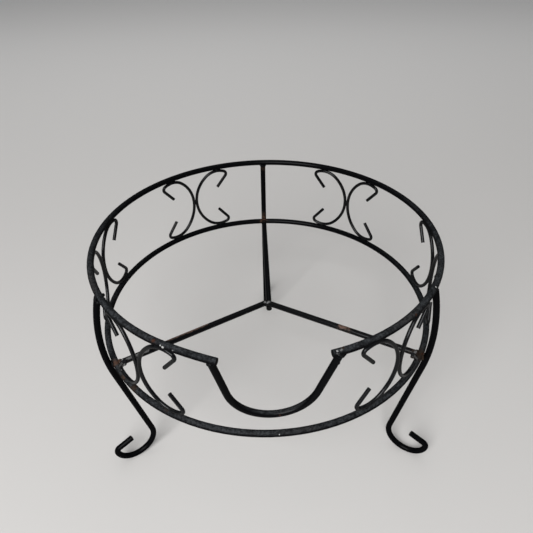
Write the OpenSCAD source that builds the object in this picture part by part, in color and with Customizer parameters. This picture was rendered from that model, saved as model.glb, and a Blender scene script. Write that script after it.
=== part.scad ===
// Small welded wrought-iron style stand for one flower pot.
// Two rings carry the pot, three bars make its floor, three bent rods are its legs,
// and twelve wire scrolls fill the band between the rings.
// Every piece is round rod or wire, cut square, bent cold and welded to the next.
// The origin is on the axis of the rings, at the level of the floor. The dip faces -Y.

/* [Rings] */
// Radius of both rings, to the middle of the rod
ring_r = 140; // [120:1:165]
// Diameter of the rod of the rings
ring_rod_d = 5.2; // [4:0.1:6.5]
// Height of the stand, from the floor to the top of the upper ring
stand_h = 195.5; // [180:0.5:240]
// Height of the upper ring above the lower ring, middle to middle
ring_gap = 71; // [64:0.5:80]

/* [Front dip] */
// Direction that the dip faces, anticlockwise from +X
dip_a = 272.3; // [270:0.1:277]
// Width of the dip at the ring, middle to middle of its rod
dip_w = 83; // [74:1:90]
// Depth of the dip below the middle of the upper ring
dip_depth = 56.5; // [50:0.5:59]
// Shift of the bottom of the dip to the left
dip_shift = 1.8; // [0:0.1:3]
// Turn of the dip about its right end, which moves its left end outwards, in degrees
dip_turn = 1.3; // [0:0.1:1.5]
// Bend radius of the bottom of the dip, to the middle of the rod
dip_bend_r = 32; // [24:1:34]
// Diameter of the rod of the dip
dip_rod_d = 5.1; // [4:0.1:6]
// Lengths of the right and left ends of the upper ring past the middle of the dip's rod
ring_over = [6.4, 5.1];
// Angle of the last stretch of the upper ring, which springs outwards to the dip, in degrees
spring_a = 13.5; // [12:0.5:15]

/* [Legs] */
// Directions of the three legs, anticlockwise from +X
leg_angles = [90.5, 210, 330.5];
// Diameter of the rod of the legs
leg_rod_d = 5.1; // [4:0.1:6.5]
// Leans of the straight shins towards the axis, in degrees, in the same order
leg_leans = [12.5, 13.2, 11.1];
// Height of the end of the bow below the middle of the lower ring
bow_drop = 12; // [4:0.5:18]
// Bend radius of the foot, from the shin to the floor
foot_r = 20; // [16:0.5:24]
// Bend radius of the toe, where the rod rises from the floor
toe_r = 15; // [12:0.5:18]
// Turn of the toe up from the floor, in degrees
toe_turn = 82; // [70:1:88]
// Bend radius of the tip of the toe
tip_r = 4.6; // [4:0.1:6]
// Turn of the tip back over the foot, in degrees
tip_turn = 74; // [60:1:85]
// Length of the straight tail of the foot
toe_tail = 13.5; // [6:0.5:15]

/* [Floor bars] */
// Direction of the middle of the front bar, anticlockwise from +X
front_bar_a = 271; // [265:0.5:275]
// Angle between the two halves of the front bar, in degrees
front_bar_open = 120; // [112:1:128]
// Diameter of the rod of the floor bars
bar_rod_d = 5; // [4:0.1:5.5]
// Bend radius of the front bar where it crosses the axis
bar_bend_r = 4.5; // [4:0.1:8]
// Length of the back bar past the middle of the front bar
bar_overrun = 2.6; // [2:0.1:6]
// Turn of the back bar to the right of the axis, in degrees
back_bar_turn = 0.9; // [0:0.1:1.5]

/* [Scrolls] */
// Directions of the middles of the six pairs of scrolls, anticlockwise from +X
pair_angles = [120.7, 176.5, 230.5, 310.5, 358, 53.5];
// Diameter of the wire of the scrolls
wire_d = 3; // [2.2:0.1:3.4]
// Distance from the back of a scroll to the place where it touches the rings
scroll_reach = 24; // [21:0.5:26]
// Bend radius of the shoulders of a scroll
shoulder_r = 18; // [15:0.5:20]
// Turn of the shoulders past the place where they touch the rings, in degrees
nose_turn = 24; // [16:1:30]
// Bend radius of the hook at each end of a scroll
hook_r = 3.4; // [3.1:0.1:4.5]
// Turn of the hook at each end of a scroll, in degrees
hook_turn = 105; // [95:1:115]
// Length of the straight tail of a scroll
hook_tail = 14.5; // [8:0.5:16]

/* [Welds] */
// Gap between two rods that cross or lie along each other, filled by weld metal
weld_gap = 0.2; // [0.15:0.05:0.3]
// Gap between the square end of a rod and the ring it is welded to
root_gap = 0.6; // [0.4:0.1:1]
// Diameter of the beads at the ends of the rods
end_bead_d = 7.4; // [6.8:0.1:8.5]
// Diameter of the beads where the legs pass the lower ring
side_bead_d = 6.2; // [5.4:0.1:7]
// Diameter of the tacks of the scrolls
tack_d = 4.2; // [3.6:0.1:5]

/* [Hidden] */
paint = "#1b1d20";
metal = "#2b2826";

// How fine the round shapes are drawn, and the radius from which a bend is drawn like a ring
rod_sides = 48;
bend_sides = 96;
ring_sides = 360;
wide_bend_r = 60;
// Size of the joint between two steps of a bent rod
seam = 0.02;

upper_z = stand_h - ring_rod_d / 2;
lower_z = upper_z - ring_gap;

// Front dip: its ends stand under the ring, and the left one is turned out from the ring's circle
dip_half_a = asin(dip_w / 2 / ring_r);
dip_front = sqrt(ring_r * ring_r - dip_w * dip_w / 4);
dip_left_x = dip_front + dip_w * sin(dip_turn);
dip_left_y = dip_w * (cos(dip_turn) - 0.5);
dip_left_a = atan(dip_left_y / dip_left_x);
dip_left_out = sqrt(dip_left_x * dip_left_x + dip_left_y * dip_left_y);
dip_centre_h = dip_depth - dip_bend_r;

// Each half of the dip, w from the middle of its bend to its end
function dip_side(w) = sqrt(w * w + dip_centre_h * dip_centre_h - dip_bend_r * dip_bend_r);
function dip_half_turn(w) = 90 + atan(dip_centre_h / w) - atan(dip_side(w) / dip_bend_r);
function dip_cut(w) =
    (ring_rod_d / 2 + root_gap + dip_rod_d / 2 * cos(dip_half_turn(w))) / sin(dip_half_turn(w));

// Upper ring: a wider bend takes its last stretch from the ring's circle to the dip's left end
spring_chord = sqrt(dip_left_out * dip_left_out + ring_r * ring_r
    - 2 * dip_left_out * ring_r * cos(spring_a));
spring_r = spring_chord * spring_chord / 2 / (ring_r - dip_left_out * cos(spring_a));
spring_turn = 2 * asin(spring_chord / 2 / spring_r) + asin(ring_over[1] / spring_r);
ring_start_a = dip_half_a - asin(ring_over[0] / ring_r);

// Leg: its axis passes this far outside the middle of the lower ring
leg_seat_out = ring_rod_d / 2 + weld_gap + leg_rod_d / 2;

// Scroll: back arc and shoulder arc meet where the shoulder reaches the ring
scroll_half_h = (ring_gap - ring_rod_d - wire_d) / 2 - weld_gap;
shoulder_out = scroll_reach - shoulder_r;
shoulder_up = scroll_half_h - shoulder_r;
back_turn = 2 * atan(shoulder_out / shoulder_up);
back_r = shoulder_r + shoulder_up / sin(back_turn);
pair_half_gap = (wire_d + weld_gap) / 2;
touch_a = atan(scroll_reach / ring_r)
    + asin(pair_half_gap / sqrt(ring_r * ring_r + scroll_reach * scroll_reach));
pair_r = ring_r * cos(touch_a) + scroll_reach * sin(touch_a);
band_mid_z = (upper_z + lower_z) / 2;

// Floor: the back bar slopes from the ring's level to one rod below the front bar
bar_l = ring_r - ring_rod_d / 2 - root_gap;
bar_slope = asin((bar_rod_d + weld_gap) / ring_r);
front_bar_half_turn = (180 - front_bar_open) / 2;
front_bar_straight = bar_l - bar_bend_r * tan(front_bar_half_turn);

// A round rod fed along +X from the origin and bent in the XY plane. A step [length] feeds a
// straight, and a step [turn, radius] bends: to the left, or to the right if the turn is negative.
// A ball just proud of the rod joins each step to the next.
module bent_rod(d, steps, i = 0) {
    if (i < len(steps)) {
        straight = len(steps[i]) == 1;
        turn = straight ? 0 : steps[i][0];
        r = straight ? 0 : (turn < 0 ? -1 : 1) * steps[i][1];
        sides = abs(r) > wide_bend_r ? ring_sides : bend_sides;
        if (i > 0) {
            sphere(d = d + seam, $fn = rod_sides);
        }
        translate([i > 0 ? seam / 2 : 0, 0, 0]) {
            if (straight) {
                rotate([0, 90, 0]) cylinder(h = steps[i][0], d = d, $fn = rod_sides);
                translate([steps[i][0] + seam / 2, 0, 0]) bent_rod(d, steps, i + 1);
            } else {
                translate([0, r, 0]) {
                    rotate([0, 0, turn < 0 ? 90 + turn : -90])
                        rotate_extrude(angle = abs(turn), $fn = sides)
                            translate([abs(r), 0]) circle(d = d, $fn = rod_sides);
                    rotate([0, 0, turn]) translate([seam / 2, -r, 0]) bent_rod(d, steps, i + 1);
                }
            }
        }
    }
}

// A rod bent on both sides of the origin: along +X, and as in a mirror along -X
module two_way_rod(d, steps, back_steps) {
    sphere(d = d + seam, $fn = rod_sides);
    translate([seam / 2, 0, 0]) bent_rod(d, steps);
    mirror([1, 0, 0]) translate([seam / 2, 0, 0]) bent_rod(d, back_steps);
}

module upper_ring() {
    steps = [[360 - ring_start_a - dip_left_a - spring_a, ring_r], [spring_turn, spring_r]];
    color(paint) rotate([0, 0, dip_a + ring_start_a]) translate([ring_r, 0, upper_z])
        rotate([0, 0, 90]) bent_rod(ring_rod_d, steps);
}

module lower_ring() {
    color(paint) translate([0, 0, lower_z])
        rotate_extrude($fn = ring_sides) translate([ring_r, 0]) circle(d = ring_rod_d, $fn = rod_sides);
}

module front_dip() {
    right_w = dip_w / 2 + dip_shift;
    left_w = dip_w / 2 - dip_shift;
    right_steps = [[dip_half_turn(right_w), dip_bend_r], [dip_side(right_w) - dip_cut(right_w)]];
    left_steps = [[dip_half_turn(left_w), dip_bend_r], [dip_side(left_w) - dip_cut(left_w)]];
    color(paint) rotate([0, 0, dip_a]) translate([dip_front, dip_w / 2, upper_z - dip_depth])
        rotate([0, 0, dip_turn]) translate([0, -right_w, 0])
            rotate([90, 0, 90]) two_way_rod(dip_rod_d, right_steps, left_steps);
}

// A leg in the upright plane through the axis. A bow runs from under the upper ring past the
// outer side of the lower ring, then a straight shin leans in and ends in a curled foot.
module leg(i) {
    lean = leg_leans[i];
    seat = leg_seat_out / ring_gap;
    bow_r = (bow_drop + ring_gap * (1 + seat * seat) / 2) / (sin(lean) + seat);
    start_a = asin((ring_gap + bow_drop) / bow_r - sin(lean));
    root_a = asin((ring_rod_d / 2 + root_gap) / bow_r);
    shin_drop = lower_z - bow_drop - leg_rod_d / 2 - foot_r * (1 + sin(lean));
    steps = [
        [root_a - start_a - lean, bow_r],
        [shin_drop / cos(lean)],
        [90 + lean, foot_r],
        [toe_turn, toe_r],
        [tip_turn, tip_r],
        [toe_tail]
    ];
    color(paint) rotate([0, 0, leg_angles[i]]) translate([ring_r, 0, upper_z]) rotate([90, 0, 0])
        rotate([0, 0, start_a - 90]) translate([0, -bow_r, 0])
            rotate([0, 0, -root_a]) translate([0, bow_r, 0]) bent_rod(leg_rod_d, steps);
}

module front_floor_bar() {
    apex_in = bar_bend_r / cos(front_bar_half_turn) - bar_bend_r;
    steps = [[-front_bar_half_turn, bar_bend_r], [front_bar_straight]];
    color(paint) rotate([0, 0, front_bar_a]) translate([apex_in, 0, lower_z])
        rotate([0, 0, 90]) two_way_rod(bar_rod_d, steps, steps);
}

module back_floor_bar() {
    color(paint) rotate([0, 0, leg_angles[0]]) translate([ring_r, 0, lower_z])
        rotate([0, bar_slope, 180 + back_bar_turn]) translate([ring_r - bar_l, 0, 0])
            bent_rod(bar_rod_d, [[bar_l + bar_overrun]]);
}

// Puts its children at the back of one scroll of the pair at angle a, with +Y along the band.
// A scroll is flat: it stands in the upright plane that touches the rings where it is tacked.
module at_scroll(a, side) {
    rotate([0, 0, a]) mirror([0, side < 0 ? 1 : 0, 0]) rotate([0, 0, touch_a])
        translate([ring_r, -scroll_reach, band_mid_z]) children();
}

module scroll(a, side) {
    steps = [
        [back_turn, back_r],
        [90 - back_turn + nose_turn, shoulder_r],
        [hook_turn, hook_r],
        [hook_tail]
    ];
    color(paint) at_scroll(a, side) rotate([0, -90, 0]) two_way_rod(wire_d, steps, steps);
}

// Rings of wire that follow the two shoulders of a scroll, and its back
module scroll_shoulder(a, side, end) {
    at_scroll(a, side) translate([0, scroll_reach, end * shoulder_up]) rotate([90, 0, 90])
        rotate_extrude($fn = ring_sides) translate([shoulder_r, 0]) circle(d = wire_d, $fn = rod_sides);
}

module scroll_back(a, side) {
    at_scroll(a, side) translate([0, back_r, 0]) rotate([90, 0, 90])
        rotate_extrude($fn = ring_sides) translate([back_r, 0]) circle(d = wire_d, $fn = rod_sides);
}

module bead(d) {
    sphere(d = d, $fn = bend_sides);
}

module dip_welds() {
    places = [[dip_half_a, ring_r], [-dip_left_a, dip_left_out]];
    color(metal) for (place = places)
        difference() {
            rotate([0, 0, dip_a + place[0]])
                translate([place[1], 0, upper_z - ring_rod_d / 2]) bead(end_bead_d);
            upper_ring();
            front_dip();
        }
}

module leg_welds() {
    color(metal) for (i = [0 : len(leg_angles) - 1]) {
        difference() {
            rotate([0, 0, leg_angles[i]])
                translate([ring_r, 0, upper_z - ring_rod_d / 2]) bead(end_bead_d);
            upper_ring();
            leg(i);
        }
        difference() {
            rotate([0, 0, leg_angles[i]])
                translate([ring_r + ring_rod_d / 2, 0, lower_z]) bead(side_bead_d);
            lower_ring();
            leg(i);
        }
    }
}

module floor_welds() {
    color(metal) {
        for (side = [-1, 1])
            difference() {
                rotate([0, 0, front_bar_a + side * front_bar_open / 2])
                    translate([ring_r - ring_rod_d / 2, 0, lower_z]) bead(end_bead_d);
                lower_ring();
                front_floor_bar();
            }
        difference() {
            rotate([0, 0, leg_angles[0]])
                translate([ring_r - ring_rod_d / 2, 0, lower_z]) bead(end_bead_d);
            lower_ring();
            back_floor_bar();
        }
        difference() {
            rotate([0, 0, leg_angles[0]])
                translate([0, -ring_r * sin(back_bar_turn), lower_z - bar_rod_d / 2]) bead(end_bead_d);
            front_floor_bar();
            back_floor_bar();
        }
    }
}

module scroll_tacks() {
    color(metal) for (a = pair_angles) for (side = [-1, 1]) for (end = [-1, 1])
        difference() {
            rotate([0, 0, a + side * touch_a])
                translate([ring_r, 0, band_mid_z + end * (ring_gap - ring_rod_d) / 2]) bead(tack_d);
            translate([0, 0, band_mid_z + end * ring_gap / 2])
                rotate_extrude($fn = ring_sides)
                    translate([ring_r, 0]) circle(d = ring_rod_d, $fn = rod_sides);
            scroll_shoulder(a, side, end);
        }
}

module pair_tacks() {
    color(metal) for (a = pair_angles)
        difference() {
            rotate([0, 0, a]) translate([pair_r, 0, band_mid_z]) bead(tack_d);
            scroll_back(a, -1);
            scroll_back(a, 1);
        }
}

upper_ring();
front_dip();
lower_ring();
front_floor_bar();
back_floor_bar();
leg(0);  // back_leg
leg(1);  // left_leg
leg(2);  // right_leg
scroll(pair_angles[0], -1);  // scroll_back_left_a
scroll(pair_angles[0], 1);  // scroll_back_left_b
scroll(pair_angles[1], -1);  // scroll_left_a
scroll(pair_angles[1], 1);  // scroll_left_b
scroll(pair_angles[2], -1);  // scroll_front_left_a
scroll(pair_angles[2], 1);  // scroll_front_left_b
scroll(pair_angles[3], -1);  // scroll_front_right_a
scroll(pair_angles[3], 1);  // scroll_front_right_b
scroll(pair_angles[4], -1);  // scroll_right_a
scroll(pair_angles[4], 1);  // scroll_right_b
scroll(pair_angles[5], -1);  // scroll_back_right_a
scroll(pair_angles[5], 1);  // scroll_back_right_b
dip_welds();
leg_welds();
floor_welds();
scroll_tacks();
pair_tacks();
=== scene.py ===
# %% [markdown]
# # A small welded stand for one flower pot
#
# The real object is made of round steel rod and wire that was cut, bent cold and welded,
# and then sprayed with black paint. Years outdoors have left dust on its upper sides and
# rust where the paint is thin: round the welds, in chips, and along the bars of the floor.
#
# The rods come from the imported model, because they are plain round bends that are exact
# already. Blender adds what a lathe or a bender can't: rough weld metal, and the paint.

import math

import bmesh
import bpy
from mathutils import Matrix, Vector, noise


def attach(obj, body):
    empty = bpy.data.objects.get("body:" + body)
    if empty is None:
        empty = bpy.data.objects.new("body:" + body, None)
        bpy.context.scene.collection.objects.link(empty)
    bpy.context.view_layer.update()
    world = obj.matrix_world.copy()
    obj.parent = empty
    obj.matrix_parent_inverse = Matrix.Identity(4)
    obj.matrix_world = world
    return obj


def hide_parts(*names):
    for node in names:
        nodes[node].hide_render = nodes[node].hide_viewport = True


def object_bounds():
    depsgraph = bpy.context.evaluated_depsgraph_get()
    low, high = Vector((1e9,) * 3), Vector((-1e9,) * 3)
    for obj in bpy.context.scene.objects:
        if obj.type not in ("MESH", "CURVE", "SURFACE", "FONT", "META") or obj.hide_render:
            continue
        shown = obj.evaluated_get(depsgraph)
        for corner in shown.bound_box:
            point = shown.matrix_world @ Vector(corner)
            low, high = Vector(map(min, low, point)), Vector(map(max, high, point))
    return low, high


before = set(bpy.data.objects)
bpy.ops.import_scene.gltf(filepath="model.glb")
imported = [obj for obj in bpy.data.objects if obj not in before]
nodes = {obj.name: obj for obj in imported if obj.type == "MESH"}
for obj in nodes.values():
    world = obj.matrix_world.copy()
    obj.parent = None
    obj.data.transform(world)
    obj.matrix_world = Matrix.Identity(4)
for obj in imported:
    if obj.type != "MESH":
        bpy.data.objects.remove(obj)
cad_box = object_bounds()
size = [hi - lo for lo, hi in zip(*cad_box)]
print("the model is", " x ".join(f"{s * 1000:.1f}" for s in size), "mm")

# %% [markdown]
# ## Sizes that the pieces share
#
# Everything below is placed from these few sizes. They repeat those of the model, in metres,
# and directions are in degrees anticlockwise from +X, as one looks down on the stand.

# %% Shared sizes
MM = 0.001
RING_R = 140 * MM
RING_ROD_R = 2.6 * MM
UPPER_Z = 192.9 * MM
LOWER_Z = 121.9 * MM


def on_ring(angle, out=0.0, z=LOWER_Z):
    """A point at an angle on a ring, moved outwards by out."""
    turn = math.radians(angle)
    return Vector(((RING_R + out) * math.cos(turn), (RING_R + out) * math.sin(turn), z))


def on_bar(angle, reach, side=0.0, up=0.0):
    """A point on a floor bar, reach from the axis, moved to the left of its run by side."""
    turn = math.radians(angle)
    along = Vector((math.cos(turn), math.sin(turn), 0))
    left = Vector((-math.sin(turn), math.cos(turn), 0))
    return along * reach + left * side + Vector((0, 0, LOWER_Z + up))


print("upper ring at", UPPER_Z, "lower ring at", LOWER_Z)

# %% [markdown]
# ## The camera
#
# The photograph was taken from in front and above, from about an arm's length. A camera can
# be placed by hand and compared, but here it was worked out: both rings are circles, and only
# one camera draws them as the two ellipses that the photograph shows. A camera's own axes are
# right, up and backward, so they are built from the direction that it looks in.

# %% Camera
CAMERA_AT = Vector((0.6, -368.7, 435.2)) * MM
CAMERA_PITCH = math.radians(36.5)
CAMERA_ROLL = math.radians(1.09)
SENSOR = 36.0
LENS = 36.07
CLIP_START = 10 * MM

forward = Vector((0, math.cos(CAMERA_PITCH), -math.sin(CAMERA_PITCH)))
level_right = Vector((1, 0, 0))
level_down = forward.cross(level_right)
right = level_right * math.cos(CAMERA_ROLL) + level_down * math.sin(CAMERA_ROLL)
down = level_down * math.cos(CAMERA_ROLL) - level_right * math.sin(CAMERA_ROLL)

camera_data = bpy.data.cameras.new("camera")
camera_data.sensor_width = SENSOR
camera_data.lens = LENS
camera_data.clip_start = CLIP_START
camera = bpy.data.objects.new("camera", camera_data)
bpy.context.scene.collection.objects.link(camera)
camera.matrix_world = (
    Matrix.Translation(CAMERA_AT) @ Matrix((right, -down, -forward)).transposed().to_4x4()
)
bpy.context.scene.camera = camera
to_bars = (CAMERA_AT - Vector((0, 0, LOWER_Z))).length
print("the camera is", round(to_bars, 3), "m from the middle of the floor bars")

# %% [markdown]
# ## Helpers for materials
#
# A procedural material is a chain of nodes. Written out one by one, the nodes and their links
# hide the idea, so these helpers make a node and link it in one line. Object coordinates are
# used throughout: every piece has its origin in the same place, so they are simply metres on
# the stand, and one pattern runs on from rod to rod.
#
# A spot of rust is a ball round a place, and a streak is a ball drawn along a line. Both are
# made from one measure, the gap from the surface to the place, with noise added to it before
# it is cut off. That makes the outline ragged, as an eaten edge is.


# %% Material helpers
EDGE_SHARE = 1.25
FULL_SHARE = 0.75


class Paint:
    """A new material with helpers that add a node and give back its output."""

    def __init__(self, name):
        self.material = bpy.data.materials.new(name)
        self.material.use_nodes = True
        self.tree = self.material.node_tree
        self.shader = self.tree.nodes["Principled BSDF"]
        self.place = self.node("ShaderNodeTexCoord").outputs["Object"]

    def node(self, kind, inputs=(), **settings):
        made = self.tree.nodes.new(kind)
        for key, value in settings.items():
            setattr(made, key, value)
        for key, value in dict(inputs).items():
            if isinstance(value, bpy.types.NodeSocket):
                self.tree.links.new(value, made.inputs[key])
            else:
                made.inputs[key].default_value = value
        return made

    def noise(self, cell, detail=4.0, rough=0.55):
        """Soft random grey, with patches about cell metres across."""
        inputs = {"Vector": self.place, "Scale": 1 / cell, "Detail": detail, "Roughness": rough}
        return self.node("ShaderNodeTexNoise", inputs).outputs["Fac"]

    def math(self, operation, a, b=0.0, clamp=False):
        made = self.node("ShaderNodeMath", {0: a, 1: b}, operation=operation, use_clamp=clamp)
        return made.outputs[0]

    def ramp(self, value, low, high, out_low=0.0, out_high=1.0):
        """low to high becomes out_low to out_high, smoothly, and stays there outside."""
        inputs = {
            "Value": value,
            "From Min": low,
            "From Max": high,
            "To Min": out_low,
            "To Max": out_high,
        }
        made = self.node("ShaderNodeMapRange", inputs, interpolation_type="SMOOTHSTEP", clamp=True)
        return made.outputs["Result"]

    def mix(self, share, below, above):
        """The colour above laid over the colour below, where share is 1."""
        made = self.node("ShaderNodeMix", {"Factor": share}, data_type="RGBA")
        for index, value in ((6, below), (7, above)):
            if isinstance(value, bpy.types.NodeSocket):
                self.tree.links.new(value, made.inputs[index])
            else:
                made.inputs[index].default_value = (*value, 1)
        return made.outputs[2]

    def most(self, shares):
        """The largest of some shares. It is 0 where there are none."""
        total = shares[0] if shares else 0.0
        for share in shares[1:]:
            total = self.math("MAXIMUM", total, share)
        return total

    def vector(self, operation, output=0, **inputs):
        """One step of reckoning with vectors: a and b, or a and a scale."""
        inputs = {{"a": 0, "b": 1, "scale": "Scale"}[key]: v for key, v in inputs.items()}
        return self.node("ShaderNodeVectorMath", inputs, operation=operation).outputs[output]

    def fade(self, gap, radius, ragged, full):
        """1 at a gap of 0, falling to 0 a little past the radius, with a ragged outline."""
        gap = self.math("MULTIPLY_ADD", gap, 1 / radius)
        self.tree.links.new(ragged, gap.node.inputs[2])
        return self.ramp(gap, EDGE_SHARE, full)

    def near(self, spots, ragged, full=FULL_SHARE):
        """1 within each spot (place, radius), falling to 0 at its edge.

        full is the share of the radius that is wholly covered: a small one gives a soft stain.
        """
        gaps = [self.vector("DISTANCE", "Value", a=self.place, b=place) for place, _ in spots]
        faded = [self.fade(gap, spot[1], ragged, full) for gap, spot in zip(gaps, spots)]
        return self.most(faded)

    def streak(self, start, end, radius, ragged):
        """1 along the line from start to end, falling to 0 on either side of it."""
        run = end - start
        place = self.vector("SUBTRACT", a=self.place, b=start)
        share = self.vector("DOT_PRODUCT", "Value", a=place, b=run / run.length_squared)
        share = self.math("ADD", share, 0.0, clamp=True)
        nearest = self.vector("SCALE", a=run, scale=share)
        gap = self.vector("DISTANCE", "Value", a=place, b=nearest)
        return self.fade(gap, radius, ragged, FULL_SHARE)

    def finish(self, colour, rough, bumps):
        """Links colour, roughness and bumps, which are (height, strength, depth in metres)."""
        self.tree.links.new(colour, self.shader.inputs["Base Color"])
        self.tree.links.new(rough, self.shader.inputs["Roughness"])
        normal = None
        for height, strength, depth in bumps:
            inputs = {"Height": height, "Strength": strength, "Distance": depth}
            if normal is not None:
                inputs["Normal"] = normal
            normal = self.node("ShaderNodeBump", inputs).outputs[0]
        self.tree.links.new(normal, self.shader.inputs["Normal"])
        return self.material


print("materials read Object coordinates, in metres")

# %% [markdown]
# ## Where the paint has failed
#
# On the real stand the rust isn't everywhere: it starts at the welds, where the paint could
# not key, and in the chips that a pot makes when it is dropped in. Each place is written down
# as a direction on a ring or a point on a bar, with the radius of the spot. Noise alone would
# put rust in places where this stand has none.
#
# There are eight kinds: fresh rust, a brown bloom, dry tan rust, pale chips, grey scuffs and
# soft orange stains are spots, and highlight lines and streaks are lines. A few of the chips and
# most of the scuffs are painted glints, where a weld or the hub throws back the lamp, and the
# highlight line is a painted highlight along the top of a bar. A place lies about half a rod
# away from the middle of the rod, because a mark inside the metal hardly shows.

# %% Marks on the rings
CROSSING = on_ring(90.7, 0.0, LOWER_Z)
SPOTS = ("rust", "brown", "tan", "chips_and_glints", "glints_and_scuffs", "stains")
LINES = ("highlight_lines", "streaks")
no_marks = {kind: [] for kind in SPOTS + LINES}
ring_marks = {
    **no_marks,
    "rust": [
        (on_ring(239.1, 1.4 * MM, UPPER_Z + 2.2 * MM), 1.5 * MM),
        (on_ring(315.0, 2.0 * MM, UPPER_Z + 1.0 * MM), 0.9 * MM),
        (on_ring(330.6, 1.6 * MM, LOWER_Z + 2.1 * MM), 1.1 * MM),
        (on_ring(328.9, 2.2 * MM, LOWER_Z + 1.3 * MM), 0.6 * MM),
    ],
    "brown": [
        (on_ring(218.0, -0.6 * MM, LOWER_Z + 2.5 * MM), 5.0 * MM),
        (on_ring(224.2, 0.3 * MM, LOWER_Z + 2.5 * MM), 4.0 * MM),
        (on_ring(238.4, 0.0, LOWER_Z + 2.0 * MM), 2.5 * MM),
        (on_ring(330.2, 0.6 * MM, LOWER_Z + 2.0 * MM), 8.0 * MM),
        (on_ring(289.6, -0.4 * MM, UPPER_Z + 2.5 * MM), 1.6 * MM),
        (CROSSING, 5.0 * MM),
    ],
    # The chip at 288 degrees is a painted glint on the weld at the ring's right end; the rest are
    # chips.
    "chips_and_glints": [
        (on_ring(241.5, 2.3 * MM, UPPER_Z + 1.2 * MM), 0.5 * MM),
        (on_ring(242.3, 2.5 * MM, UPPER_Z + 0.6 * MM), 0.85 * MM),
        (on_ring(329.0, 1.3 * MM, UPPER_Z + 2.3 * MM), 0.7 * MM),
        (on_ring(288.0, 1.2 * MM, UPPER_Z + 2.3 * MM), 0.45 * MM),
        (on_ring(272.9, 2.2 * MM, LOWER_Z + 1.4 * MM), 0.42 * MM),
    ],
    # Painted glints on the weld at the ring's right end, at 288 and 289 degrees, and a grey speck.
    "glints_and_scuffs": [
        (on_ring(245.3, 2.4 * MM, UPPER_Z + 1.1 * MM), 0.55 * MM),
        (on_ring(288.0, 1.2 * MM, UPPER_Z + 2.3 * MM), 0.8 * MM),
        (on_ring(289.1, 0.9 * MM, UPPER_Z + 2.4 * MM), 0.9 * MM),
    ],
    "stains": [
        (on_ring(211.0, 0.2 * MM, LOWER_Z + 2.6 * MM), 4.6 * MM),
        (on_ring(210.6, 1.8 * MM, LOWER_Z + 1.9 * MM), 3.6 * MM),
        (on_ring(218.6, -0.6 * MM, LOWER_Z + 2.5 * MM), 2.6 * MM),
        (CROSSING + Vector((0.0, -2.0, 1.5)) * MM, 4.5 * MM),
    ],
}
dip_marks = {**no_marks, "rust": [(Vector((7.9, -137.0, 137.5)) * MM, 0.9 * MM)]}
print("rings", {kind: len(places) for kind, places in ring_marks.items() if places})

# %% [markdown]
# ## Marks on the floor bars and legs
#
# The bars were scraped by whatever stood on them, so they have lines as well as spots: bare
# streaks that dried to a tan rust, and one bare patch. A painted highlight line lies along the
# top of the left bar, and the grey scuffs at the hub and at the right weld are painted glints.
# The legs only rust where they pass the rings.


# %% Marks on the floor bars and legs
def line_on_bar(angle, start, end, side, up, radius):
    """A line along a floor bar from one reach to another, and its radius."""
    return on_bar(angle, start, side, up), on_bar(angle, end, side, up), radius


bar_marks = {
    **no_marks,
    "brown": [
        (on_bar(331.0, 135 * MM, 0.0, 2.0 * MM), 4.0 * MM),
        (CROSSING, 7.0 * MM),
        (on_bar(331.0, 77.5 * MM, 0.3 * MM, 2.5 * MM), 4.5 * MM),
    ],
    "tan": [
        (on_bar(331.0, 72.0 * MM, -0.9 * MM, 2.3 * MM), 2.7 * MM),
        (on_bar(331.0, 75.5 * MM, 0.0, 2.5 * MM), 2.4 * MM),
        (on_bar(331.0, 78.8 * MM, 0.4 * MM, 2.5 * MM), 1.6 * MM),
    ],
    # Painted glints: on the right bar's weld, and at the hub where the bars meet.
    "glints_and_scuffs": [
        (on_bar(331.0, 136.0 * MM, -1.3 * MM, 2.2 * MM), 1.1 * MM),
        (on_bar(211.0, 2.2 * MM, 1.0 * MM, 2.3 * MM), 1.1 * MM),
        (on_bar(331.0, 3.0 * MM, -1.0 * MM, 2.3 * MM), 1.4 * MM),
    ],
    # A painted highlight along the top of the left bar, near its weld.
    "highlight_lines": [line_on_bar(211.0, 114 * MM, 131 * MM, 1.2 * MM, 2.2 * MM, 1.1 * MM)],
    "streaks": [
        line_on_bar(211.0, 60 * MM, 95 * MM, -1.2 * MM, 2.2 * MM, 1.5 * MM),
        line_on_bar(90.9, 78 * MM, 95 * MM, 0.0, 2.5 * MM, 1.1 * MM),
    ],
}
leg_marks = {
    **no_marks,
    "brown": [
        (CROSSING + Vector((0.0, 3.0, 1.0)) * MM, 8.0 * MM),
        (on_ring(90.5, 1.0 * MM, 187.0 * MM), 4.0 * MM),
    ],
    "stains": [(CROSSING + Vector((0.0, 0.0, 1.0)) * MM, 6.0 * MM)],
}
for name, marks in (("bars", bar_marks), ("legs", leg_marks)):
    print(name, {kind: len(places) for kind, places in marks.items() if places})

# %% [markdown]
# ## Black paint: its colours, and the sizes of its patterns
#
# The finish is one coat of satin black. What the eye takes for grey is dust and chalked paint,
# so it is made as that: a thin matt film of slate grey where the surface faces up, broken by
# noise, and thicker towards the front of the rings. Painting a grey highlight would be
# quicker, but it would be wrong as soon as the stand is turned over.
#
# A rod is so thin that its whole width is a highlight, and an ordinary gloss turns it grey all
# over. So the paint below reflects nothing of its own, and the shine is a thin clear coat over
# it, which fades out where the dust lies. The dust's share mostly stays below 1, and its
# colour is a little brighter for that: the broken pattern then shows where it is thick, too.

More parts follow.
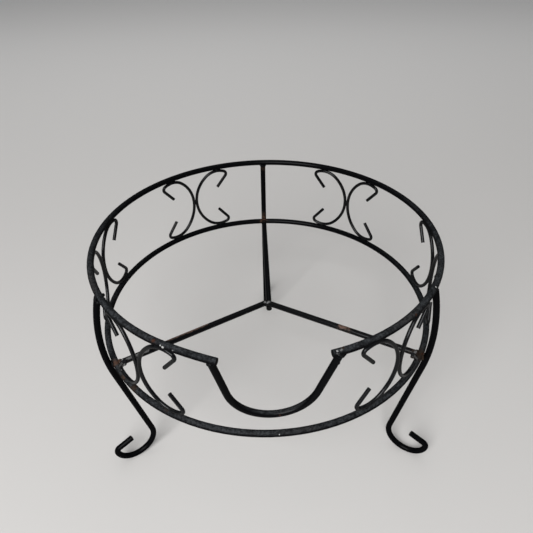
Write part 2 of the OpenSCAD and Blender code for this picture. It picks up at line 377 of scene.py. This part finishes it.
# %% Colours and grain sizes
PAINT_BLACK = (0.0012, 0.0013, 0.0016)
DUST_GREY = (0.0360, 0.0385, 0.0410)
DRY_BROWN = (0.0300, 0.0190, 0.0125)
RUST_DARK = (0.0220, 0.0085, 0.0050)
RUST_WARM = (0.0560, 0.0235, 0.0145)
RUST_TAN = (0.1060, 0.0660, 0.0500)
STAIN_ORANGE = (0.0900, 0.0460, 0.0290)
GLINT_AND_SCUFF_GREY = (0.1300, 0.1290, 0.1270)
CHIP_AND_GLINT_PALE = (0.3400, 0.3400, 0.3300)
FINE_CELL, GRAIN_CELL, BLOTCH_CELL, BROAD_CELL = 0.9 * MM, 2.1 * MM, 7 * MM, 45 * MM
EDGE_CELL, PIN_HOLE_CELL, RUST_CELL = 2.2 * MM, 3.5 * MM, 1.6 * MM
print("the dust is", round(DUST_GREY[1] / PAINT_BLACK[1]), "times as bright as the paint")

# %% [markdown]
# ## Dust
#
# The film of dust is a product of shares: how far the face looks up, how far forward it
# stands, and three noises of different size. One noise alone would look like clouds. Three
# of them give blotches with grain in them, as chalked paint has.
#
# A range is two values of a noise or a place, and the two shares that they become.

# %% Dust
WEATHER_RANGE = (100 * MM, -60 * MM, 0.03, 1.0)
BLOTCH_RANGE = (0.34, 0.62, 0.50, 1.15)
GRAIN_RANGE = (0.38, 0.60, 0.45, 1.30)
FINE_RANGE = (0.38, 0.60, 0.60, 1.25)


def dust_film(p, dust, faces, blotches, grain):
    """The share of dust. It starts and is full at the two heights of the normal in faces."""
    normal = p.node("ShaderNodeNewGeometry").outputs["Normal"]
    up = p.node("ShaderNodeSeparateXYZ", {0: normal}).outputs["Z"]
    depth = p.node("ShaderNodeSeparateXYZ", {0: p.place}).outputs["Y"]
    film = p.math("MULTIPLY", p.ramp(up, *faces), p.ramp(depth, *WEATHER_RANGE))
    film = p.math("MULTIPLY", film, p.ramp(blotches, *BLOTCH_RANGE))
    film = p.math("MULTIPLY", film, p.ramp(grain, *GRAIN_RANGE))
    film = p.math("MULTIPLY", film, p.ramp(p.noise(FINE_CELL, 3), *FINE_RANGE))
    return p.math("MULTIPLY", film, dust)


print("dust is full from", round(WEATHER_RANGE[1] / MM), "mm on the y axis towards the front")

# %% [markdown]
# ## Rust
#
# Each kind of mark is one more colour laid over the paint: first the brown bloom, then rust,
# stains and bare tan rust. What is rusty is also rough, so the share of rust is handed on to
# the gloss.
#
# A weak edge is less ragged than a full one. The full shares say how much of a spot's radius
# is wholly covered: a stain has none, so it fades from its very middle.

# %% Rust
BLOOM_RANGE, BLOOM_SHARE = (0.52, 0.74), 0.25
BROWN_FULL, BROWN_SHARE = 0.2, 0.75
PIN_HOLE_RANGE, PIN_HOLE_SHARE = (0.735, 0.775), 0.7
RUST_RANGE, RUST_FULL, RUST_SHARE = (0.40, 0.60), 0.5, 0.85
STAIN_EDGE, STAIN_FULL, STAIN_SHARE = 0.7, -0.2, 0.9
TAN_RANGE, TAN_FULL = (0.34, 0.58, 0.55, 1.0), 0.4
THIN_EDGE = 0.6


def rust_layers(p, colour, film, marks, ragged, grain):
    """Lays bloom, rust, stains and tan rust on a colour. Returns it with the share of rust."""
    bloom = p.math("MULTIPLY", p.ramp(p.noise(BROAD_CELL, 3), *BLOOM_RANGE), BLOOM_SHARE)
    brown = p.math("MULTIPLY", p.near(marks["brown"], ragged, BROWN_FULL), BROWN_SHARE)
    bloom = p.math("MAXIMUM", p.math("MULTIPLY", bloom, film), brown)
    colour = p.mix(bloom, colour, DRY_BROWN)

    pin_holes = p.ramp(p.noise(PIN_HOLE_CELL, 4, 0.6), *PIN_HOLE_RANGE)
    pin_holes = p.math("MULTIPLY", pin_holes, PIN_HOLE_SHARE)
    rust = p.math("MAXIMUM", pin_holes, p.near(marks["rust"], ragged, RUST_FULL))
    rust_colour = p.mix(p.ramp(p.noise(RUST_CELL, 5, 0.7), *RUST_RANGE), RUST_DARK, RUST_WARM)
    colour = p.mix(p.math("MULTIPLY", rust, RUST_SHARE), colour, rust_colour)

    stain = p.near(marks["stains"], p.math("MULTIPLY", ragged, STAIN_EDGE), STAIN_FULL)
    colour = p.mix(p.math("MULTIPLY", stain, STAIN_SHARE), colour, STAIN_ORANGE)

    thin = p.math("MULTIPLY", ragged, THIN_EDGE)
    lines = [p.streak(*line, thin) for line in marks["streaks"]]
    tan = p.most([p.near(marks["tan"], ragged, TAN_FULL), *lines])
    share = p.math("MULTIPLY", tan, p.ramp(grain, *TAN_RANGE))
    return p.mix(share, colour, RUST_TAN), p.math("MAXIMUM", rust, tan)


print("rust covers at most", f"{RUST_SHARE:.0%}", "of the paint under it")

# %% [markdown]
# ## Worn paint and painted glints
#
# Where things struck the stand hard, pale metal shows, and where they scuffed it, its paint
# went grey. The same grey is painted as glints on the welds and at the hub, and as a highlight
# line along the top of a bar, where these catch the lamp. The wear is the newest, so these
# marks are laid over the rust.

# %% Worn paint and painted glints
HIGHLIGHT_LINE_EDGE, RUB_SHARE = 0.5, 0.7
GLINT_AND_WEAR_RANGE = (0.34, 0.56, 0.6, 1.0)


def wear_and_glint_layers(p, colour, marks, ragged, grain):
    """Lays grey scuffs, painted glints and painted highlights on a colour, then pale chips and
    glints.
    """
    # Painted light: highlight lines are painted highlights, and most scuffs and a few chips are
    # glints.
    thin = p.math("MULTIPLY", ragged, HIGHLIGHT_LINE_EDGE)
    lines = [p.math("MULTIPLY", p.streak(*line, thin), RUB_SHARE) for line in marks["highlight_lines"]]
    glinting_and_scuffed = p.most([p.near(marks["glints_and_scuffs"], ragged), *lines])
    glinting_and_scuffed = p.math("MULTIPLY", glinting_and_scuffed, p.ramp(grain, *GLINT_AND_WEAR_RANGE))
    colour = p.mix(glinting_and_scuffed, colour, GLINT_AND_SCUFF_GREY)
    chips_and_glints = p.near(marks["chips_and_glints"], p.math("MULTIPLY", ragged, THIN_EDGE))
    return p.mix(chips_and_glints, colour, CHIP_AND_GLINT_PALE)


print("a rubbed line covers", f"{RUB_SHARE:.0%}", "of what a scuff does")

# %% [markdown]
# ## The whole finish
#
# One recipe makes every paint of the stand, so that all of it looks like one coat from one
# can. Only the share of dust, the faces that it lies on and the gloss differ from piece to
# piece. A bump is a strength and a depth, and it stands for the grain of the paint and for the
# crust of the rust, which are far too fine to be modelled.

# %% The whole finish
EDGE_RANGE = (0.3, 0.7, -0.55, 0.55)
ROUGH_RANGE = (0.25, 0.75, 0.22, 0.34)
DUST_ROUGH, RUST_ROUGH, COAT_ROUGH = 0.35, 0.35, 0.20
SHINE_RANGE = (0.05, 0.60, 1.0, 0.12)
BLOTCH_BUMP, GRAIN_BUMP, RUST_BUMP = (0.30, 0.20 * MM), (0.35, 0.08 * MM), (0.6, 0.12 * MM)


def paint_layers(name, marks, dust, faces, gloss):
    """Black paint under dust, rust, worn spots and painted glints, with a thin shine where it is
    clean.

    faces says where dust lies: a normal of -1 looks straight down, and one of 1 straight up.
    """
    p = Paint(name)
    grain = p.noise(GRAIN_CELL, 4, 0.6)
    blotches = p.noise(BLOTCH_CELL, 6, 0.65)
    ragged = p.ramp(p.noise(EDGE_CELL, 5, 0.7), *EDGE_RANGE)
    film = dust_film(p, dust, faces, blotches, grain)
    colour = p.mix(film, PAINT_BLACK, DUST_GREY)
    colour, rust = rust_layers(p, colour, film, marks, ragged, grain)
    colour = wear_and_glint_layers(p, colour, marks, ragged, grain)

    rough = p.ramp(blotches, *ROUGH_RANGE)
    rough = p.math("ADD", rough, p.math("MULTIPLY", film, DUST_ROUGH))
    rough = p.math("ADD", rough, p.math("MULTIPLY", rust, RUST_ROUGH), clamp=True)
    p.shader.inputs["Specular IOR Level"].default_value = 0.0
    shine = p.math("MULTIPLY", p.ramp(film, *SHINE_RANGE), gloss)
    p.tree.links.new(shine, p.shader.inputs["Coat Weight"])
    p.shader.inputs["Coat Roughness"].default_value = COAT_ROUGH
    bumps = [(blotches, *BLOTCH_BUMP), (grain, *GRAIN_BUMP), (rust, *RUST_BUMP)]
    return p.finish(colour, rough, bumps)


ring_paint = paint_layers("ring_paint", ring_marks, dust=0.70, faces=(0.10, 0.85), gloss=0.08)
dip_paint = paint_layers("dip_paint", dip_marks, dust=0.52, faces=(0.45, 0.95), gloss=0.12)
bar_paint = paint_layers("bar_paint", bar_marks, dust=0.02, faces=(0.1, 0.9), gloss=0.24)
leg_paint = paint_layers("leg_paint", leg_marks, dust=0.02, faces=(0.1, 0.9), gloss=0.06)
wire_paint = paint_layers("wire_paint", no_marks, dust=0.13, faces=(-0.6, 0.8), gloss=0.34)
print(len(ring_paint.node_tree.nodes), "nodes in the paint of the rings")

# %% [markdown]
# ## Painted rods
#
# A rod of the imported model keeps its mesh, and only its material changes. The legs stand
# upright and shed the dust, and a pot has kept the floor bars wiped, so these get the same
# paint with almost none. The wire of the scrolls is the glossiest, with a trace of dust.

# %% Paint the rods
weld_nodes = ["dip_welds", "leg_welds", "floor_welds", "scroll_tacks", "pair_tacks"]
rods = [name for name in nodes if name not in weld_nodes]
paint_of = {
    "ring": ring_paint,
    "dip": dip_paint,
    "floor_bar": bar_paint,
    "leg": leg_paint,
    "scroll": wire_paint,
}
for name in rods:
    part = "scroll" if "scroll" in name else name.split("_", 1)[1]
    nodes[name].data.materials.clear()
    nodes[name].data.materials.append(paint_of[part])
print(len(rods), "rods painted")

# %% [markdown]
# ## Weld metal
#
# A small weld is a blob that froze as it flowed: wider than it is high, uneven, with a few
# drops of spatter beside it. A sphere would look like a bead on a necklace. So each weld
# starts as an icosphere, is pushed in and out by noise, and is turned and squashed to lie
# along the rods that it joins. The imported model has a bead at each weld, and the middle of
# that bead says where the weld goes.
#
# The beads of one kind share a node, so they are told apart first: a bead is all the points
# that can be reached from one of them along edges. They are sorted by place, so that each
# gets the same number, and with it the same lumps, in every run.

# %% Find the beads
SAME_PLACE = 0.001 * MM


def bead_places(name):
    """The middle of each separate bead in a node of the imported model."""
    mesh = bmesh.new()
    mesh.from_mesh(nodes[name].data)
    bmesh.ops.remove_doubles(mesh, verts=mesh.verts, dist=SAME_PLACE)
    left, found = set(mesh.verts), []
    while left:
        todo, island = [left.pop()], []
        while todo:
            vert = todo.pop()
            island.append(vert.co.copy())
            for edge in vert.link_edges:
                other = edge.other_vert(vert)
                if other in left:
                    left.remove(other)
                    todo.append(other)
        low = Vector(min(c[i] for c in island) for i in range(3))
        high = Vector(max(c[i] for c in island) for i in range(3))
        found.append((low + high) / 2)
    mesh.free()
    return sorted(found, key=lambda place: tuple(round(c, 4) for c in place))


for name in weld_nodes:
    print(name, len(bead_places(name)), "beads")

# %% [markdown]
# ## Shape one lump
#
# noise.noise gives the same value at the same place each time, so the lumps differ from each
# other but come out the same in every run. The seed is the lump's own number: it moves the
# sphere to its own part of the noise. Broad noise makes the lump uneven, and finer noise
# roughens its skin.

# %% One lump of weld metal
LUMP_LEVELS, TACK_LEVELS = 4, 3
LUMP_ROUGH, TACK_ROUGH = 0.16, 0.12
SEED_STEP = (3.7, 1.9, 5.3)
BROAD, BROAD_SHARE = 1.3, 1.4
FINE, FINE_SHARE = 3.6, 0.6


def add_lump(mesh, place, radii, turn, seed, levels=LUMP_LEVELS, rough=LUMP_ROUGH):
    """Adds one uneven lump to a bmesh. radii are its three half widths before it is turned."""
    made = bmesh.ops.create_icosphere(mesh, subdivisions=levels, radius=1.0)["verts"]
    shift = Vector([seed * step for step in SEED_STEP])
    for vert in made:
        broad = noise.noise(vert.co * BROAD + shift)
        fine = noise.noise(vert.co * FINE - shift)
        vert.co *= 1 + rough * (BROAD_SHARE * broad + FINE_SHARE * fine)
    bmesh.ops.scale(mesh, vec=radii, verts=made)
    bmesh.ops.rotate(mesh, cent=(0, 0, 0), matrix=turn, verts=made)
    bmesh.ops.translate(mesh, vec=place, verts=made)


def weld_piece(name, mesh, node):
    """Makes the bmesh an object that stands for a node of beads."""
    bmesh.ops.recalc_face_normals(mesh, faces=mesh.faces)
    for face in mesh.faces:
        face.smooth = True
    data = bpy.data.meshes.new(name)
    mesh.to_mesh(data)
    mesh.free()
    made = bpy.data.objects.new(name, data)
    bpy.context.scene.collection.objects.link(made)
    data.materials.append(weld_paint)
    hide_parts(node)
    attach(made, "root")
    print(name, len(data.polygons), "faces")


print("a lump has", 20 * 4 ** (LUMP_LEVELS - 1), "faces")

# %% [markdown]
# ## Paint on the welds
#
# The same paint, but thinner: weld metal is rough, so the coat breaks on its high spots and
# rust starts there. It is the same recipe with its own marks, mostly painted glints on the
# high spots of the welds and at the hub.

# %% Weld paint
weld_marks = {
    **no_marks,
    "stains": [(on_ring(211.0, -1.0 * MM, LOWER_Z + 2.5 * MM), 3.5 * MM)],
    "rust": [(on_ring(330.6, 0.8 * MM, LOWER_Z + 2.6 * MM), 1.3 * MM)],
    "brown": [(on_ring(330.2, 0.0, LOWER_Z), 9.0 * MM)],
    # Painted glints: on the weld at the ring's right end, and on a dab of the left bar's weld.
    "chips_and_glints": [
        (on_ring(288.0, 1.3 * MM, UPPER_Z + 2.8 * MM), 0.75 * MM),
        (on_bar(211.0, 135.0 * MM, 1.0 * MM, 3.2 * MM), 0.45 * MM),
    ],
    # Painted glints on the dabs of the welds and at the hub, and grey on the lumps under the left
    # bar.
    "glints_and_scuffs": [
        (on_ring(288.0, 1.4 * MM, UPPER_Z + 2.8 * MM), 0.9 * MM),
        (on_ring(289.1, 1.0 * MM, UPPER_Z + 2.8 * MM), 1.1 * MM),
        (on_ring(287.7, 2.7 * MM, UPPER_Z + 1.3 * MM), 1.1 * MM),
        (on_bar(211.0, 135.0 * MM, 0.8 * MM, 3.4 * MM), 0.9 * MM),
        (on_bar(211.0, 132.0 * MM, 1.0 * MM, 3.0 * MM), 0.8 * MM),
        (on_bar(211.0, 136.0 * MM, 3.6 * MM, 0.0), 1.6 * MM),
        (on_bar(331.0, 136.0 * MM, -1.6 * MM, 2.9 * MM), 1.3 * MM),
        (on_bar(211.0, 2.5 * MM, 0.8 * MM, 2.8 * MM), 1.3 * MM),
        (on_bar(331.0, 2.5 * MM, -0.8 * MM, 2.8 * MM), 1.5 * MM),
    ],
}
weld_paint = paint_layers("weld_paint", weld_marks, dust=0.26, faces=(0.1, 0.8), gloss=0.20)
print(len(weld_marks["glints_and_scuffs"]), "scuffs on the welds")

# %% [markdown]
# ## Welds at the ends of the rods
#
# Where a rod ends against a ring, the weld was run round the end in a few dabs. Five or six
# lumps in a collar round the rod give that lobed outline. Single dabs are added one by one where
# the real weld got more metal.

# %% Collars and dabs
SPIN_SPREAD = 17
SIZE_SPREAD = 0.25
DAB_SHAPE = (0.8, 1.15, 0.9)
DAB_FLAT, DAB_SPIN = 0.85, 40


def turned(direction, spin=0.0):
    """A turn that takes +Z to a direction, after a spin about it."""
    quat = Vector(direction).to_track_quat("Z", "Y")
    return (quat.to_matrix() @ Matrix.Rotation(math.radians(spin), 3, "Z")).to_3x3()


def collar(mesh, place, direction, reach, lump, count, seed):
    """Dabs of weld metal round a rod that points in a direction, reach from its middle."""
    for i in range(count):
        spin = 360 / count * i + SPIN_SPREAD * noise.noise(Vector((seed, i, 0)))
        turn = turned(direction, spin)
        at = place + turn @ Vector((reach, 0, 0))
        wide = lump * (1 + SIZE_SPREAD * noise.noise(Vector((i, seed, 7))))
        add_lump(mesh, at, [wide * share for share in DAB_SHAPE], turn, seed + i)


def dab(mesh, place, radius, seed):
    """One rounded dab of weld metal, a little flatter than it is wide."""
    turn = turned((0, 0, 1), DAB_SPIN * seed)
    add_lump(mesh, place, (radius, radius, radius * DAB_FLAT), turn, seed)


print("the dabs of a collar vary in width by", f"{SIZE_SPREAD:.0%}")

# %% [markdown]
# ## Welds of the legs
#
# A collar sits round the top of each leg, under the upper ring. Where a leg passes the lower
# ring, two upright lumps stand side by side in the groove between them. The top of the left
# leg got more metal than the others, so three bigger dabs are added to it.

# %% Leg welds
mesh = bmesh.new()
for number, place in enumerate(bead_places("leg_welds")):
    outward = Vector((place.x, place.y, 0)).normalized()
    if place.z > (UPPER_Z + LOWER_Z) / 2:
        at = Vector((outward.x * RING_R, outward.y * RING_R, UPPER_Z - RING_ROD_R - 0.3 * MM))
        collar(mesh, at, (0, 0, 1), reach=1.9 * MM, lump=1.7 * MM, count=5, seed=10 + 7 * number)
    else:
        along = Vector((-outward.y, outward.x, 0))
        at = outward * (RING_R + RING_ROD_R + 0.1 * MM) + Vector((0, 0, LOWER_Z))
        turn = turned((0, 0, 1), math.degrees(math.atan2(along.y, along.x)))
        for side in (-1, 1):
            lump_at = at + along * side * 1.3 * MM + Vector((0, 0, 0.3 * MM * side))
            radii = (1.5 * MM, 1.5 * MM, 2.6 * MM)
            add_lump(mesh, lump_at, radii, turn, 60 + number * 2 + side)
for angle, out, up, radius in (
    (211.6, 2.7, -1.5, 1.9),
    (213.2, 2.7, -1.6, 1.3),
    (211.2, -2.6, -0.7, 1.7),
):
    dab(mesh, on_ring(angle, out * MM, UPPER_Z + up * MM), radius * MM, round(angle * 10))
weld_piece("leg_weld_metal", mesh, "leg_welds")

# %% [markdown]
# ## Welds of the dip
#
# The two ends of the upper ring stand a little past the dip. The left one was only welded from
# below. The right one was built up with more metal: three dabs lie nearly flush on its top and
# side, and three drips hang under it. Each dab is given by its direction on the ring in
# degrees, and in millimetres how far it lies out from the ring's middle line and above it.

# %% Dip welds
mesh = bmesh.new()
for number, place in enumerate(bead_places("dip_welds")):
    at = Vector((place.x, place.y, UPPER_Z - RING_ROD_R - 0.8 * MM))
    collar(mesh, at, (0, 0, 1), reach=1.2 * MM, lump=1.3 * MM, count=6, seed=30 + 9 * number)
for angle, out, up, radius in (
    (287.9, 0.2, 0.9, 2.1),
    (289.2, 0.1, 1.3, 1.6),
    (288.4, 1.4, 0.4, 1.6),
    (290.0, 0.8, -1.8, 1.6),
    (288.5, 1.0, -8.6, 1.3),
    (288.9, 0.6, -6.0, 1.2),
):
    dab(mesh, on_ring(angle, out * MM, UPPER_Z + up * MM), radius * MM, round(angle * 10))
weld_piece("dip_weld_metal", mesh, "dip_welds")

# %% [markdown]
# ## Welds of the floor bars
#
# Each bar is welded to the lower ring with a collar of dabs. The left one has four more, two on
# top and two beside it, and the right one has a dab on top and two balls of spatter at its
# near side. At the hub the back bar is only caught by two small dabs.

# %% Floor welds
mesh = bmesh.new()
for number, place in enumerate(bead_places("floor_welds")):
    if place.xy.length < RING_R / 2:
        for side in (-1, 1):
            at = Vector((place.x + side * 1.5 * MM, place.y, LOWER_Z - 1.4 * MM))
            radii = (1.2 * MM, 1.2 * MM, 1.5 * MM)
            add_lump(mesh, at, radii, turned((0, 0, 1)), 90 + side)
    else:
        outward = Vector((place.x, place.y, 0)).normalized()
        at = outward * (RING_R - RING_ROD_R - 0.5 * MM) + Vector((0, 0, LOWER_Z))
        collar(mesh, at, outward, reach=2.0 * MM, lump=1.5 * MM, count=6, seed=50 + 11 * number)
for angle, reach, side, up, radius in (
    (211.0, 135.0, 0.8, 2.0, 1.4),
    (211.0, 132.2, 1.0, 1.6, 1.2),
    (211.0, 137.2, 2.6, -1.2, 1.9),
    (211.0, 134.4, 2.4, -1.0, 1.5),
    (331.0, 134.9, -1.9, -2.9, 1.9),
    (331.0, 137.2, -3.0, -1.4, 2.1),
    (331.0, 136.4, -1.2, 1.2, 1.7),
):
    dab(mesh, on_bar(angle, reach * MM, side * MM, up * MM), radius * MM, round(reach))
weld_piece("floor_weld_metal", mesh, "floor_welds")

# %% [markdown]
# ## Tacks on the scrolls
#
# The wire is thin, so each scroll is only tacked: one small flat dab at each place where it
# touches a ring, and one where two scrolls stand back to back.

# %% Tacks
for node, name, radii in (
    ("scroll_tacks", "ring_tack_metal", (1.5 * MM, 1.9 * MM, 1.2 * MM)),
    ("pair_tacks", "pair_tack_metal", (1.5 * MM, 1.3 * MM, 2.4 * MM)),
):
    mesh = bmesh.new()
    for number, place in enumerate(bead_places(node)):
        turn = Matrix.Rotation(math.atan2(place.y, place.x), 3, "Z")
        add_lump(mesh, place, radii, turn, 120 + number, TACK_LEVELS, TACK_ROUGH)
    weld_piece(name, mesh, node)

# %% [markdown]
# ## Floor, lamps and world
#
# The stand is shown on a plain pale floor, whose own colour gets paler towards the back: the
# background is bright because its colour is, and not because more light falls on it. The main
# lamp stands in front, high and to the left. It puts the highlights on the near sides of the
# rods and gives a soft shadow. A wide, weaker lamp overhead and an even sky fill in the rest,
# and both are kept low, because they turn the tops of black rods grey.

# %% Floor and light
FLOOR_SIZE = 12.0
FLOOR_NEAR = (0.58, 0.565, 0.545)
FLOOR_FAR = (0.90, 0.885, 0.86)
FAR_FROM, FAR_TO = 0.10, 1.60
FLOOR_ROUGH = 0.6
OVERHEAD_AT = (-0.1, 0.1, 2.0)
OVERHEAD_COLOUR = (1.0, 0.99, 0.97)
FRONT_AT = (-0.61, -1.67, 1.41)
FRONT_COLOUR = (0.98, 0.985, 1.0)
SKY_COLOUR = (0.86, 0.88, 0.92, 1)
SKY_STRENGTH = 0.20

mesh = bmesh.new()
bmesh.ops.create_grid(mesh, x_segments=1, y_segments=1, size=FLOOR_SIZE / 2)
data = bpy.data.meshes.new("floor")
mesh.to_mesh(data)
mesh.free()
floor = bpy.data.objects.new("floor", data)
bpy.context.scene.collection.objects.link(floor)
floor_look = Paint("floor")
back = floor_look.node("ShaderNodeSeparateXYZ", {0: floor_look.place}).outputs["Y"]
pale = floor_look.mix(floor_look.ramp(back, FAR_FROM, FAR_TO), FLOOR_NEAR, FLOOR_FAR)
floor_look.tree.links.new(pale, floor_look.shader.inputs["Base Color"])
floor_look.shader.inputs["Roughness"].default_value = FLOOR_ROUGH
data.materials.append(floor_look.material)


def soft_lamp(name, place, size, watts, colour):
    """A square lamp that shines at the middle of the stand."""
    data = bpy.data.lights.new(name, "AREA")
    data.shape = "SQUARE"
    data.size = size
    data.energy = watts
    data.color = colour
    lamp = bpy.data.objects.new(name, data)
    bpy.context.scene.collection.objects.link(lamp)
    aim = (Vector((0, 0, LOWER_Z)) - Vector(place)).to_track_quat("-Z", "Y")
    lamp.matrix_world = Matrix.Translation(place) @ aim.to_matrix().to_4x4()


soft_lamp("overhead", OVERHEAD_AT, size=3.0, watts=14, colour=OVERHEAD_COLOUR)
soft_lamp("front", FRONT_AT, size=1.3, watts=64, colour=FRONT_COLOUR)

world = bpy.data.worlds.new("world")
world.use_nodes = True
sky = world.node_tree.nodes["Background"]
sky.inputs["Color"].default_value = SKY_COLOUR
sky.inputs["Strength"].default_value = SKY_STRENGTH
bpy.context.scene.world = world
bpy.context.scene.view_settings.view_transform = "Standard"
print("floor, two lamps and world")

# %% [markdown]
# ## The end
#
# The dressed stand must stay as big as the model, whose box was taken at the start.

# %% The end
bpy.context.view_layer.update()
